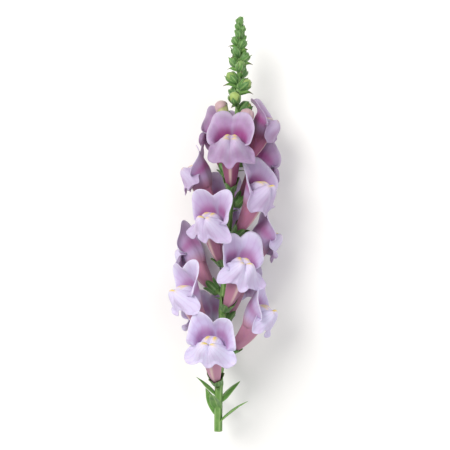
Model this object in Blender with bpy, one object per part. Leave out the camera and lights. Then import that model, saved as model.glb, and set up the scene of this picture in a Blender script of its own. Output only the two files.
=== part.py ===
"""A cut snapdragon stem, laid on a surface. Metres, +Z up, tip towards +Y, resting on z = 0.

One green node holds all that grew as one green body: the stem with its leaves, and at each node along it a
bract, a short stalk and a calyx, then the closed buds of the tip. Each corolla is a piece of its own that
sits in its calyx: the open two-lipped flowers, and below the green tip the large buds that show colour.
"""

import math

import bmesh
import bpy
import numpy as np
from mathutils import Vector

MM = 0.001
SEED = 31

# Driving dimensions of the stem, in metres
STEM_LENGTH = 0.257
STEM_RADIUS_CUT = 0.0026
STEM_RADIUS_TIP = 0.0008
AXIS_HEIGHT = 0.0305
AXIS_LEAN = 0.0135
TAIL_DROP = 0.005
TIP_RISE = 0.003
STEM_SIDES = 8
STEM_RINGS = 13

# Where things grow along the stem, counted down from the youngest open flower and up from it
FLOWER_COUNT = 14
YOUNGEST_FLOWER_AT = 0.152
FLOWER_SPACING = 0.0092
FLOWER_SIZE = 1.13
YOUNG_FLOWERS = 2
LARGE_BUDS = 4
GREEN_BUDS = 22
LAST_BUD_WITH_BRACT = 17
BUD_REACH = 0.118
BUD_DECAY = 14.0
DIVERGENCE = math.radians(137.5)
CALYX_OUT = 0.0055
BRACT_BELOW = 0.006
LEAF_COUNT = 5
LEAF_FIRST = 0.005
LEAF_SPACING = 0.0042
LEAF_TURN = math.radians(70)

# A flower is described in its own axes, in millimetres: x to its side, y along the stem, z away from it
TUBE_CONTROL = np.array([0.0, 6.5, 8.0])
THROAT = np.array([0.0, 20.0, 14.0])
TUBE_RADIUS_BASE = 1.9
TUBE_RADIUS_THROAT = 5.8
PALATE_RADIUS = 6.7
PALATE_HEIGHT = 9.0
PALATE_SLOPE = math.radians(-28)
UPPER_LIP_CENTRE = np.array([0.0, 26.5, 15.0])
UPPER_LIP_SLOPE = math.radians(10)
UPPER_LIP_WRAP = math.radians(125)
UPPER_LIP_FAN = math.radians(128)
LOWER_LIP_CENTRE = np.array([0.0, 22.3, 18.2])
LOWER_LIP_SLOPE = math.radians(-30)
LOWER_LIP_FAN = math.radians(118)
PETAL_THICKNESS = 0.0008
PRESS_DEPTH = 0.0005

SIDE = np.array([1.0, 0.0, 0.0])
GREEN = (0.13, 0.30, 0.07, 1.0)
LILAC = (0.62, 0.40, 0.62, 1.0)
CREAM_PINK = (0.66, 0.56, 0.45, 1.0)


def leaning(angle):
    """Unit vectors up along a lip's plane and out of it. The angle tips its top away from the stem."""
    up = np.array([0.0, math.cos(angle), math.sin(angle)])
    return up, np.array([0.0, -math.sin(angle), math.cos(angle)])


def smooth(value, low, high):
    """0 below low, 1 above high, and an even S-shaped rise between them."""
    share = np.clip((value - low) / (high - low), 0, 1)
    return share * share * (3 - 2 * share)


def bump(value, centre, width):
    return np.exp(-(((value - centre) / width) ** 2))


def clear_scene():
    for old in list(bpy.data.objects):
        bpy.data.objects.remove(old)


def material(name, colour, roughness):
    made = bpy.data.materials.new(name)
    made.use_nodes = True
    shader = made.node_tree.nodes["Principled BSDF"]
    shader.inputs["Base Color"].default_value = colour
    shader.inputs["Roughness"].default_value = roughness
    shader.inputs["Metallic"].default_value = 0.0
    return made


def solid_from(name, points, faces):
    """A mesh object from points in metres, its faces turned outwards."""
    mesh = bpy.data.meshes.new(name)
    mesh.from_pydata([tuple(p) for p in points], [], [tuple(f) for f in faces])
    shape = bmesh.new()
    shape.from_mesh(mesh)
    bmesh.ops.recalc_face_normals(shape, faces=shape.faces)
    bmesh.ops.triangulate(shape, faces=shape.faces)
    shape.to_mesh(mesh)
    shape.free()
    made = bpy.data.objects.new(name, mesh)
    bpy.context.scene.collection.objects.link(made)
    return made


def loft(name, rings):
    """A closed solid through rings of equal count, each an array of points, with a flat cap at both ends."""
    rows, sides = len(rings), len(rings[0])
    faces = [tuple(range(sides)), tuple(range((rows - 1) * sides, rows * sides))]
    for row in range(rows - 1):
        for side in range(sides):
            a, b = row * sides + side, row * sides + (side + 1) % sides
            faces.append((a, b, b + sides, a + sides))
    return solid_from(name, np.concatenate(rings), faces)


def blade(name, grid, thickness):
    """A thin closed solid about a grid of points.

    Its quads are split alike on both faces, mirrored about its middle.
    """
    rows, columns = grid.shape[:2]
    down, across = np.gradient(grid, axis=0), np.gradient(grid, axis=1)
    normal = np.cross(across, down)
    normal /= np.maximum(np.linalg.norm(normal, axis=2, keepdims=True), 1e-12)
    offset = normal * thickness / 2
    points = np.concatenate([(grid + offset).reshape(-1, 3), (grid - offset).reshape(-1, 3)])
    count = rows * columns
    faces = []
    for row in range(rows - 1):
        for column in range(columns - 1):
            a = row * columns + column
            b, c, d = a + 1, a + columns + 1, a + columns
            halves = [(a, b, c), (a, c, d)] if 2 * column < columns - 1 else [(a, b, d), (b, c, d)]
            faces += halves
            faces += [(i + count, k + count, j + count) for i, j, k in halves]
    rim = [*range(columns), *range(2 * columns - 1, count, columns)]
    rim += [*range(count - 2, count - columns - 1, -1), *range(count - 2 * columns, 0, -columns)]
    for a, b in zip(rim, rim[1:] + rim[:1]):
        faces += [(a, a + count, b + count), (a, b + count, b)]
    return solid_from(name, points, faces)


def drop_scraps(mesh):
    """Keeps the largest body of a fused mesh, whose faces hang together by edges that two faces share."""
    shape = bmesh.new()
    shape.from_mesh(mesh)
    unseen = set(shape.faces)
    bodies = []
    while unseen:
        body = [unseen.pop()]
        for face in body:
            for edge in face.edges:
                if len(edge.link_faces) == 2:
                    found = unseen.intersection(edge.link_faces)
                    unseen -= found
                    body.extend(found)
        bodies.append(body)
    bodies.sort(key=len)
    scraps = [face for body in bodies[:-1] for face in body]
    bmesh.ops.delete(shape, geom=scraps, context="FACES")
    shape.to_mesh(mesh)
    shape.free()


def fuse(name, pieces, finish):
    """One Boolean union of overlapping pieces, applied."""
    whole, rest = pieces[0], pieces[1:]
    whole.name = name
    whole.data.materials.append(finish)
    if rest:
        group = bpy.data.collections.new(name + "_pieces")
        bpy.context.scene.collection.children.link(group)
        for piece in rest:
            bpy.context.scene.collection.objects.unlink(piece)
            group.objects.link(piece)
        union = whole.modifiers.new("union", "BOOLEAN")
        union.operation = "UNION"
        union.operand_type = "COLLECTION"
        union.collection = group
        union.solver = "EXACT"
        bpy.context.view_layer.objects.active = whole
        bpy.ops.object.modifier_apply(modifier=union.name)
        for piece in rest:
            bpy.data.objects.remove(piece)
        bpy.data.collections.remove(group)
        drop_scraps(whole.data)
    whole.data.shade_smooth()
    whole.data.set_sharp_from_angle(angle=math.radians(50))
    return whole


def axis_point(along):
    """The stem's centre line: a slow drift to one side, the cut end a little lower than the tip."""
    share = np.clip(along / STEM_LENGTH, 0, 1)
    lean = AXIS_LEAN * share**2 * (3 - 2 * share)
    height = AXIS_HEIGHT - TAIL_DROP * (1 - share) ** 3 + TIP_RISE * share**3
    return np.array([lean, along, height])


def growth_frame(along, azimuth):
    """Columns side, along and outward at a point of the stem. Azimuth 0 faces up, a quarter turn +X."""
    step = 0.0005
    tangent = axis_point(along + step) - axis_point(along - step)
    tangent /= np.linalg.norm(tangent)
    up = np.array([0.0, 0.0, 1.0]) - tangent[2] * tangent
    up /= np.linalg.norm(up)
    right = np.cross(tangent, up)
    outward = math.cos(azimuth) * up + math.sin(azimuth) * right
    return np.column_stack([np.cross(tangent, outward), tangent, outward])


def place(points_mm, frame, origin, size=1.0):
    """Points in a flower's own axes, in millimetres, carried into the world."""
    return np.asarray(points_mm) * MM * size @ frame.T + origin


def tilted(frame, pitch):
    """The frame turned about its side axis. A positive pitch opens it away from the stem."""
    side, along, outward = frame.T
    c, s = math.cos(pitch), math.sin(pitch)
    return np.column_stack([side, c * along + s * outward, c * outward - s * along])


def swayed(frame, angle):
    """The frame turned about its outward axis, so that a flower nods to one side."""
    side, along, outward = frame.T
    c, s = math.cos(angle), math.sin(angle)
    return np.column_stack([c * side + s * along, c * along - s * side, outward])


def tube_line(v):
    """Centre and direction of the corolla tube, a quadratic curve from the calyx to the throat."""
    centre = 2 * v * (1 - v) * TUBE_CONTROL + v * v * THROAT
    direction = (1 - v) * TUBE_CONTROL + v * (THROAT - TUBE_CONTROL)
    return centre, direction / np.linalg.norm(direction)


def tube_radius(v):
    return TUBE_RADIUS_BASE + (TUBE_RADIUS_THROAT - TUBE_RADIUS_BASE) * v**0.9


def ring(centre, direction, radius, sides, depth=1.0):
    """Points round a direction in the flower's middle plane. The first lies on the side towards the stem."""
    inner = np.array([0.0, direction[2], -direction[1]])
    turn = np.arange(sides) * 2 * math.pi / sides
    return centre + radius * (np.outer(np.sin(turn), SIDE) + depth * np.outer(np.cos(turn), inner))


def palate_ring(share, sides):
    """The palate that closes the mouth: a dome on the tube, its top in two humps with a crease between."""
    centre, direction = tube_line(1.0)
    out = leaning(PALATE_SLOPE)[1]
    turn = share * math.pi / 2
    facing = direction + smooth(share, 0.0, 0.9) * (out - direction)
    facing /= np.linalg.norm(facing)
    middle = centre + PALATE_HEIGHT * math.sin(turn) * (0.15 * direction + 0.85 * facing)
    points = ring(middle, facing, PALATE_RADIUS * math.cos(turn) ** 0.62, sides, 0.9)
    humps = 1.5 * bump(np.abs(points[:, 0]), 2.7, 1.9) - 0.9 * bump(points[:, 0], 0.0, 0.9)
    return points + np.outer(humps * math.sin(turn) ** 2, out)


def upper_lip(s, t, flower):
    """The hood, from an arc round the throat (t 0) to a fan of two broad lobes (t 1), its rim rolled back."""
    up, out = leaning(UPPER_LIP_SLOPE)
    centre, direction = tube_line(1.0)
    inner = np.array([0.0, direction[2], -direction[1]])
    wrap, fan = s * UPPER_LIP_WRAP, s * UPPER_LIP_FAN
    spoke = np.multiply.outer(np.sin(wrap), SIDE) + np.multiply.outer(np.cos(wrap), inner)
    root = centre + 0.85 * TUBE_RADIUS_THROAT * spoke
    knee = centre + 1.35 * TUBE_RADIUS_THROAT * spoke + 7.5 * direction
    lobes = 6.4 * bump(np.abs(fan), 0.62, 0.60) + 2.6 * bump(np.abs(fan), 1.65, 0.5)
    reach = 9.6 + lobes - 1.2 * bump(s, 0.0, 0.07)
    reach = reach * (1 + flower["lobe"] * np.sin(1.6 * fan))
    rim = UPPER_LIP_CENTRE + np.multiply.outer(reach * np.sin(fan), SIDE)
    rim = rim + np.multiply.outer(reach * np.cos(fan), up)
    rim = rim + np.multiply.outer(5.5 * np.sin(fan) ** 2 * smooth(np.abs(s), 0.2, 1.0) + 1.5, out)
    weight = t[..., None]
    surface = (1 - weight) ** 2 * root + 2 * weight * (1 - weight) * knee + weight**2 * rim
    wave = 1.3 * np.sin(6.0 * s + flower["phase"]) * t**3
    roll = 5.5 * np.clip(t - 0.6, 0, 1) ** 2 / 0.16 * (0.3 + 0.7 * np.cos(fan) ** 2)
    crease = 1.6 * bump(s, 0.0, 0.12) * np.sin(math.pi * t)
    return surface + np.multiply.outer(wave - roll - crease, out)


def lower_lip(s, t, flower):
    """Two cheeks that hug the palate and run out into three rounded lobes, folded down over the tube."""
    up, out = leaning(LOWER_LIP_SLOPE)
    fan = s * LOWER_LIP_FAN
    side_lobe = bump(np.abs(fan), 1.12, 0.50)
    reach = 7.9 + 7.2 * side_lobe + 3.9 * bump(fan, 0.0, 0.34) - 2.2 * smooth(np.abs(s), 0.8, 1.0)
    reach = reach * (1 - flower["lobe"] * np.sin(1.6 * fan))
    distance = 3.0 + (reach - 3.0) * t
    across, above = distance * np.sin(fan), -distance * np.cos(fan)
    cheek = 5.2 * bump(np.abs(across), 3.6, 4.4) * bump(above, -1.5, 6.0) * smooth(t, -0.25, 0.35)
    fold = 6.0 * smooth(distance, 5.0, 13.5) * (0.55 + 0.45 * np.cos(fan) ** 2)
    turned_up = 1.6 * smooth(t, 0.78, 1.0) * (1 - 0.5 * side_lobe)
    crease = 1.8 * bump(np.abs(fan), 0.50, 0.16) * smooth(t, 0.5, 1.0)
    wave = 1.5 * t**3 * np.sin(6.0 * fan + flower["phase"])
    height = cheek - fold + turned_up - crease + wave - 0.008 * across**2
    flat = LOWER_LIP_CENTRE + np.multiply.outer(across, SIDE) + np.multiply.outer(above, up)
    return flat + np.multiply.outer(height, out)


def lip_grid(lip, flower, columns, rows):
    s, t = np.meshgrid(np.linspace(-1, 1, columns), np.linspace(0, 1, rows))
    return lip(s, t, flower)


def corolla(name, flower, finish):
    """An open flower: a tube closed by the palate, fused with the hood and the lower lobes."""
    rings = [ring(*tube_line(v), tube_radius(v), 7) for v in (0.0, 0.4, 1.0)]
    rings += [palate_ring(share, 7) for share in (0.6, 0.92)]
    at = (flower["frame"], flower["origin"], flower["size"])
    tube = loft(name + "_tube", [place(points, *at) for points in rings])
    hood = blade(name + "_hood", place(lip_grid(upper_lip, flower, 9, 4), *at), PETAL_THICKNESS)
    lobes = blade(name + "_lobes", place(lip_grid(lower_lip, flower, 9, 3), *at), PETAL_THICKNESS)
    return fuse(name, [tube, hood, lobes], finish)


def large_bud(name, flower, finish):
    """A bud about to open: an egg that leans as the tube does, widest where its hood folds over the front."""
    shape = ((0.0, 1.9), (0.18, 3.4), (0.38, 4.7), (0.57, 5.2), (0.70, 4.5), (0.79, 2.2))
    rings = [ring(*tube_line(v), radius, 8) for v, radius in shape]
    at = (flower["frame"], flower["origin"], flower["size"])
    return fuse(name, [loft(name, [place(points, *at) for points in rings])], finish)


def calyx(name, flower):
    """A stalk from inside the stem that widens to a crown of five pointed sepals round the corolla's foot."""
    _, direction = tube_line(0.1)
    tips = np.arange(10) % 2 == 0

    def band(low_height, low_radius, high_height, high_radius):
        points = ring(np.zeros(3), direction, 1.0, 10)
        height = np.where(tips, high_height, low_height)[:, None]
        return points * np.where(tips, high_radius, low_radius)[:, None] + height * direction

    at = (flower["frame"], flower["origin"], flower["size"])
    rings = [place(points, *at) for points in (
        band(-2.2, 1.1, -2.2, 1.1),
        band(-1.2, 2.9, -1.2, 2.9),
        band(2.6, 4.3, 6.6, 5.4),
        band(2.4, 3.6, 6.3, 4.7),
        band(-0.55, 2.5, -0.55, 2.5),
    )]
    foot = axis_point(flower["along"] - 0.0025)
    rings.insert(0, foot + 0.7 * (rings[0] - rings[0].mean(axis=0)))
    return loft(name, rings)


def bract(name, along, azimuth, length, width, rise):
    """A small pointed leaf below a stalk, rising from the stem by the given angle and bent a little back."""
    frame = growth_frame(along, azimuth)
    share = np.array([0.0, 0.5, 1.0])
    half = width / 2 * np.array([0.5, 1.0, 0.12])
    growth, back = leaning(rise)
    spine = np.outer(share * length, growth) + np.outer(0.12 * length * share**2, back)
    grid = np.stack([spine - np.outer(half, SIDE), spine + np.outer(half, SIDE)], axis=1)
    return blade(name, place(grid, frame, axis_point(along)), 0.7 * MM)


def green_bud(name, along, azimuth, length, width, rise):
    """A closed bud in its sepals, egg-shaped, rooted inside the stem."""
    frame = growth_frame(along, azimuth)
    direction = leaning(rise)[0]
    shape = ((0.0, 0.25), (0.35, 0.75), (0.68, 1.0), (0.9, 0.7), (1.0, 0.15))
    rings = [ring(share * length * direction, direction, width / 2 * radius, 5) for share, radius in shape]
    return loft(name, [place(points, frame, axis_point(along)) for points in rings])


def leaf(name, along, azimuth, length, width, rise):
    """A lance-shaped leaf: folded along its rib, arching away from the stem, its edge a little waved."""
    frame = growth_frame(along, azimuth)
    share = np.linspace(0, 1, 7)
    half = width / 2 * (np.sin(math.pi * share**0.8) ** 0.9 + 0.16 * (1 - share) + 0.06)
    arch = rise + 0.55 * share
    step = length / 6
    spine = np.zeros((7, 3))
    spine[1:, 1] = np.cumsum(step * np.cos(arch[1:]))
    spine[1:, 2] = np.cumsum(step * np.sin(arch[1:]))
    fold = np.column_stack([0 * share, np.sin(arch), -np.cos(arch)]) * -0.35 * half[:, None]
    wave = 0.5 * np.sin(9 * share)[:, None] * np.array([0.0, 0.4, 0.9])
    left = spine - np.outer(half, SIDE) + fold + wave
    right = spine + np.outer(half, SIDE) + fold - wave
    grid = np.stack([left, spine, right], axis=1)
    return blade(name, place(grid, frame, axis_point(along)), 0.8 * MM)


def stem_core():
    """The stem itself, eight-sided and tapering, cut square at its foot."""
    rings = []
    for along in np.linspace(0, STEM_LENGTH - 0.003, STEM_RINGS):
        share = along / STEM_LENGTH
        radius = STEM_RADIUS_CUT + (STEM_RADIUS_TIP - STEM_RADIUS_CUT) * share**1.3
        frame = growth_frame(along, 0.0)
        turn = np.arange(STEM_SIDES) * 2 * math.pi / STEM_SIDES
        circle = np.outer(np.cos(turn), frame[:, 0]) + np.outer(np.sin(turn), frame[:, 2])
        rings.append(axis_point(along) + circle * radius)
    return loft("core", rings)


def bud_position(k):
    """Buds above the youngest flower stand closer and closer: an exponential approach to the tip."""
    return YOUNGEST_FLOWER_AT + BUD_REACH * (1 - math.exp(-k / BUD_DECAY))


def lowest_point(flower):
    """Height of the lowest point of lips and palate, read from points on each."""
    points = [lip_grid(lip, flower, 21, 7).reshape(-1, 3) for lip in (upper_lip, lower_lip)]
    points += [palate_ring(share, 12) for share in (0.4, 0.6, 0.8)]
    placed = place(np.concatenate(points), flower["frame"], flower["origin"], flower["size"])
    return placed[:, 2].min()


def flower_at(along, azimuth, size, pitch, draw):
    """A corolla's place, size and differences. One that faces down is bent until it meets the surface."""
    pitch = pitch + draw.uniform(-0.05, 0.05)
    azimuth = azimuth + draw.uniform(-0.08, 0.08)
    frame = swayed(growth_frame(along, azimuth), draw.uniform(-0.12, 0.12))
    flower = {
        "frame": tilted(frame, pitch),
        "origin": axis_point(along) + CALYX_OUT * frame[:, 2],
        "size": size * draw.uniform(0.97, 1.04),
        "phase": draw.uniform(0, 2 * math.pi),
        "lobe": draw.uniform(-0.10, 0.10),
        "along": along,
        "azimuth": azimuth,
    }
    low, high = pitch - 0.45, pitch + 0.26
    flower["frame"] = tilted(frame, high)
    if lowest_point(flower) > -PRESS_DEPTH:
        flower["frame"] = tilted(frame, pitch)
        return flower
    for _ in range(20):
        middle = (low + high) / 2
        flower["frame"] = tilted(frame, middle)
        if lowest_point(flower) < -PRESS_DEPTH:
            high = middle
        else:
            low = middle
    return flower


def all_flowers():
    """Open flowers down the stem, then the young flowers and the large buds above them."""
    draw = np.random.default_rng(SEED)
    flowers = []
    for n in range(FLOWER_COUNT):
        age = n / (FLOWER_COUNT - 1)
        along = YOUNGEST_FLOWER_AT - n * FLOWER_SPACING
        size = FLOWER_SIZE * (0.98 + 0.02 * age)
        flower = flower_at(along, n * DIVERGENCE, size, -0.06 + 0.10 * age, draw)
        flowers.append((f"flower_{n + 1:02d}", "open", flower))
    for k in range(1, YOUNG_FLOWERS + LARGE_BUDS + 1):
        young = k <= YOUNG_FLOWERS
        size = FLOWER_SIZE * (0.95 - 0.05 * k) if young else 1.07 - 0.08 * (k - YOUNG_FLOWERS)
        flower = flower_at(bud_position(k), -k * DIVERGENCE, size, -0.07 - 0.02 * k, draw)
        name = f"young_flower_{k}" if young else f"large_bud_{k - YOUNG_FLOWERS}"
        flowers.append((name, "open" if young else "bud", flower))
    return flowers


def green_body(flowers, finish):
    """Stem, stalks, calyces, bracts, leaves and the green buds of the tip, all grown together."""
    pieces = [stem_core()]
    for name, _, flower in flowers:
        pieces.append(calyx(name + "_calyx", flower))
        pieces.append(bract(name + "_bract", flower["along"] - BRACT_BELOW, flower["azimuth"], 7.5, 3.2, 1.2))
    first = YOUNG_FLOWERS + LARGE_BUDS + 1
    for k in range(first, first + GREEN_BUDS):
        share = (k - first) / (GREEN_BUDS - 1)
        length, width = 11.5 - 7.0 * share, 7.8 - 5.2 * share
        rise = 0.95 - 0.65 * share
        pieces.append(green_bud(f"bud_{k}", bud_position(k), -k * DIVERGENCE, length, width, rise))
        if k < LAST_BUD_WITH_BRACT:
            foot = bud_position(k) - 0.0018
            pieces.append(bract(f"bud_bract_{k}", foot, -k * DIVERGENCE, length, 2.4, rise + 0.35))
    for n in range(LEAF_COUNT):
        along = LEAF_FIRST + n * LEAF_SPACING
        pieces.append(leaf(f"leaf_{n}", along, LEAF_TURN + n * DIVERGENCE, 25.0 - 1.6 * n, 6.0, 0.62))
    return fuse("leafy_stem", pieces, finish)


def rest_flat(shapes):
    """Cuts off what would reach under the surface, so that the pressed petals lie on small flats."""
    bpy.ops.mesh.primitive_cube_add(size=1.0)
    slab = bpy.context.object
    slab.data.transform(slab.matrix_world)
    slab.scale = (1.0, 1.0, 0.05)
    slab.location = (0.0, 0.0, -0.025)
    slab.name = "surface_cutter"
    slab.hide_render = True
    slab.display_type = "WIRE"
    for shape in shapes:
        lowest = min(vertex.co.z for vertex in shape.data.vertices)
        if lowest < 0:
            print(shape.name, "reaches", round(lowest / MM, 2), "mm under the surface")
            flat = shape.modifiers.new("flat", "BOOLEAN")
            flat.operation = "DIFFERENCE"
            flat.object = slab
            flat.solver = "EXACT"


def centre_on_origin(shapes):
    """Hangs every piece on one empty, moved so that the middle of the whole lies over the origin."""
    corners = np.array([vertex.co for shape in shapes for vertex in shape.data.vertices])
    middle = (corners.min(axis=0) + corners.max(axis=0)) / 2
    base = bpy.data.objects.new("resting_place", None)
    bpy.context.scene.collection.objects.link(base)
    for shape in [*shapes, bpy.data.objects["surface_cutter"]]:
        shape.parent = base
    base.location = Vector((-middle[0], -middle[1], 0.0))


def main():
    clear_scene()
    green = material("stem_green", GREEN, 0.5)
    lilac = material("petal_lilac", LILAC, 0.6)
    cream = material("bud_cream", CREAM_PINK, 0.6)
    flowers = all_flowers()
    shapes = [green_body(flowers, green)]
    for name, kind, flower in flowers:
        make, finish = (corolla, lilac) if kind == "open" else (large_bud, cream)
        shapes.append(make(name, flower, finish))
    rest_flat(shapes)
    centre_on_origin(shapes)


main()
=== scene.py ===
"""Looks of a cut snapdragon stem that lies on a pale surface and is looked down on.

Each shape follows the rule that its solid was built by, on a finer grid. A flower is worked out in its own
axes, in millimetres: x to its side, y along the stem, z away from the stem. Sheets are grids of points in s,
which runs across from -1 to 1, and t, which runs outwards from 0 to 1.
"""

import math

import bmesh
import bpy
import numpy as np
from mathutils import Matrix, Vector


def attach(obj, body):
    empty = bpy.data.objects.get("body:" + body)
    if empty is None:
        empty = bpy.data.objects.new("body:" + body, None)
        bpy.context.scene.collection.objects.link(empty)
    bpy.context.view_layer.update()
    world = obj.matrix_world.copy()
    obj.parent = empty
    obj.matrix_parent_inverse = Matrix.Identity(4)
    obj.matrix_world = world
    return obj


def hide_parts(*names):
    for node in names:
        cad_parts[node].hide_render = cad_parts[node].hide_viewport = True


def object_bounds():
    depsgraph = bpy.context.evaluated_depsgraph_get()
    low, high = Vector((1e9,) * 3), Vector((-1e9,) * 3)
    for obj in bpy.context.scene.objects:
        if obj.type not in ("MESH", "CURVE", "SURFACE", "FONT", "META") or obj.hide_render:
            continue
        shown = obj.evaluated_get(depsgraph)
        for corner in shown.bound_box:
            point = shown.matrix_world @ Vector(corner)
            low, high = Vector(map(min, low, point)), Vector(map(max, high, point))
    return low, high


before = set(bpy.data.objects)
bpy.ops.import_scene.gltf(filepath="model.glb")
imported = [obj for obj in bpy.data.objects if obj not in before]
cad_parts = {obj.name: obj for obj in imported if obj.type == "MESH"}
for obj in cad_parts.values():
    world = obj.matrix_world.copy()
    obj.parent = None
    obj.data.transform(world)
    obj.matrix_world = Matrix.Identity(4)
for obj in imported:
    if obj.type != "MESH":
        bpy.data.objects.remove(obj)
cad_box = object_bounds()

MM = 0.001
SEED = 31

# The stem, in metres
STEM_LENGTH = 0.257
STEM_RADIUS_CUT = 0.0026
STEM_RADIUS_TIP = 0.0008
AXIS_HEIGHT = 0.0305
AXIS_LEAN = 0.0135
TAIL_DROP = 0.005
TIP_RISE = 0.003
NODE_BELOW = 0.0025
NODE_SWELLING = 0.0004
NODE_WIDTH = 0.0016

# Where things grow along it, in metres, and how far they turn round it
DIVERGENCE = math.radians(137.5)
FLOWER_COUNT = 14
YOUNGEST_FLOWER_AT = 0.152
FLOWER_SPACING = 0.0092
YOUNG_FLOWERS = 2
LARGE_BUDS = 4
GREEN_BUDS = 22
BUD_REACH = 0.118
BUD_DECAY = 14
CALYX_OUT = 0.0055
FLOWER_BRACT_BELOW = 0.006
BUD_BRACT_BELOW = 0.0018
BUDS_WITH_BRACT = 15
LEAF_COUNT = 5
LEAF_FIRST = 0.005
LEAF_SPACING = 0.0042
LEAF_TURN = math.radians(70)

# A flower, in millimetres, all of it times its size. A closed bud ends at a share of the tube's curve
FLOWER_SIZE = 1.13
TUBE_CONTROL = np.array([0.0, 6.5, 8.0])
THROAT = np.array([0.0, 20.0, 14.0])
TUBE_RADIUS_BASE = 1.9
TUBE_RADIUS_THROAT = 5.8
PALATE_RADIUS = 6.7
PALATE_HEIGHT = 9.0
PALATE_SLOPE = math.radians(-28)
PETAL_THICKNESS = 0.45
CLOSED_BUD_END = 0.79
SIDE = np.array([1.0, 0.0, 0.0])

# The upper lip, or hood: its plane and fan, where it starts on the tube, then how far its forms reach or rise
UPPER_LIP_CENTRE = np.array([0.0, 26.5, 15.0])
UPPER_LIP_SLOPE = math.radians(10)
UPPER_LIP_WRAP = math.radians(125)
UPPER_LIP_FAN = math.radians(128)
HOOD_ROOT_AT = 0.8
HOOD_ROOT_RADIUS = 5.05
HOOD_KNEE_AHEAD = 7.5
HOOD_REACH = 9.6
HOOD_LOBE = 6.4
HOOD_FLAP = 2.6
HOOD_NOTCH = 1.2
HOOD_FORWARD = 5.5
HOOD_ROLL = 5.5
HOOD_CREASE = 1.6
HOOD_WAVE = 1.3

# The lower lip, in the same way
LOWER_LIP_CENTRE = np.array([0.0, 22.3, 18.2])
LOWER_LIP_SLOPE = math.radians(-30)
LOWER_LIP_FAN = math.radians(118)
LOWER_LIP_REACH = 7.9
SIDE_LOBE = 7.2
MIDDLE_LOBE = 3.9
CHEEK_HEIGHT = 5.2
FINE_CHEEK_HEIGHT = 7.4
LOWER_LIP_FOLD = 6.0
LOWER_LIP_TURNED_UP = 1.6
LOWER_LIP_CREASE = 1.8
LOWER_LIP_WAVE = 1.5

# The calyx, in millimetres. Its hug is how far the sepals' tips stand out past their roots
SEPALS = 5
SEPAL_LENGTH = 7.6
SEPAL_ROOT_RADIUS = 2.75
SEPAL_HALF_ANGLE = math.radians(41)
HUG_ON_FLOWER = 1.4
HUG_ON_BUD = 2.3

# Green buds, in millimetres and radians. Each pair runs from the oldest to the youngest
BUD_LENGTH = (11.5, 4.5)
BUD_WIDTH = (7.8, 2.6)
BUD_RISE = (0.95, 0.30)
BUD_SEPAL_HALF_ANGLE = math.radians(50)

# Bracts and leaves, in millimetres and radians
FLOWER_BRACT_LENGTH = 7.5
FLOWER_BRACT_WIDTH = 3.2
FLOWER_BRACT_RISE = 1.2
BUD_BRACT_SHARE = 0.9
BUD_BRACT_WIDTH = 4.2
BUD_BRACT_LEAN = 0.30
BUD_BRACT_CURL = 0.34
BUD_BRACT_TWIST = 0.9
LEAF_LENGTH = 25.0
LEAF_SHORTER_BY = 1.6
LEAF_WIDTH = 6.0
LEAF_RISE = 0.62
SEPAL_THICKNESS = 0.45
BUD_SEPAL_THICKNESS = 0.3
BRACT_THICKNESS = 0.4
LEAF_THICKNESS = 0.5

# Size and pitch of open flowers, as shares and in radians, from the youngest to the oldest
FLOWER_SIZES = (0.98, 1.0)
FLOWER_PITCHES = (-0.06, 0.04)

# The same further up the spike, as a start and what each step up takes off it
YOUNG_FLOWER_SIZE = (0.95, 0.05)
LARGE_BUD_SIZE = (1.07, 0.08)
YOUNG_PITCH = (-0.07, 0.02)

# How far the draws change a flower, and how far the surface may bend it, in radians and shares
PITCH_SPREAD = 0.05
AZIMUTH_SPREAD = 0.08
SWAY_SPREAD = 0.12
SIZE_SPREAD = (0.97, 1.04)
LOBE_SPREAD = 0.10
BENT_IN_AT_MOST = 0.45
BENT_OUT_AT_MOST = 0.26

# How deep a bent flower's lowest point lies, and how high finer petals stay over the surface, in metres
PRESS_DEPTH = 0.0005
SURFACE_GAP = 0.0002

# The picture: its rows, those that the stem spans, and the height at which they are counted, in metres
PICTURE_ROWS = 450
STEM_ROWS = 415
PICTURE_PLANE = 0.03

# The lens and its sensor, in millimetres, then the floor and where the lamps look, in metres
LENS = 85
SENSOR = 36
FLOOR_REACH = 3
LIT_POINT = (0, 0, 0.02)


# Grids and curves


def smooth(value, low, high):
    """0 up to low, 1 from high on, and the S-shaped rise 3u^2 - 2u^3 between them."""
    share = np.clip((value - low) / (high - low), 0, 1)
    return share * share * (3 - 2 * share)


def bump(value, centre, width):
    """A bell: e to the minus square of the distance from the centre, in widths."""
    return np.exp(-(((value - centre) / width) ** 2))


def between(share, first, last):
    """The straight line from the first value, at share 0, to the last, at share 1."""
    return first + share * (last - first)


def stepped(count, start, step):
    """What is left of a start value after so many equal steps down."""
    return start - count * step


def combined(*pairs):
    """Vectors summed from pairs of an array of amounts and the direction that they go in."""
    return sum(np.multiply.outer(amounts, direction) for amounts, direction in pairs)


def leaning(angle):
    """Unit vectors up along a lip's plane and out of it. The angle tips its top away from the stem."""
    up = np.array([0.0, math.cos(angle), math.sin(angle)])
    return up, np.array([0.0, -math.sin(angle), math.cos(angle)])


def towards_stem(direction):
    """The unit vector square to a direction in the flower's middle plane, on the side of the stem."""
    return np.array([0.0, direction[2], -direction[1]])


def axis_point(along):
    """The stem's centre line. x drifts by an S-shaped rise, and z changes with a cube towards either end."""
    share = np.clip(along / STEM_LENGTH, 0, 1)
    lean = AXIS_LEAN * share**2 * (3 - 2 * share)
    height = AXIS_HEIGHT - TAIL_DROP * (1 - share) ** 3 + TIP_RISE * share**3
    return np.array([lean, along, height])


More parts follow.
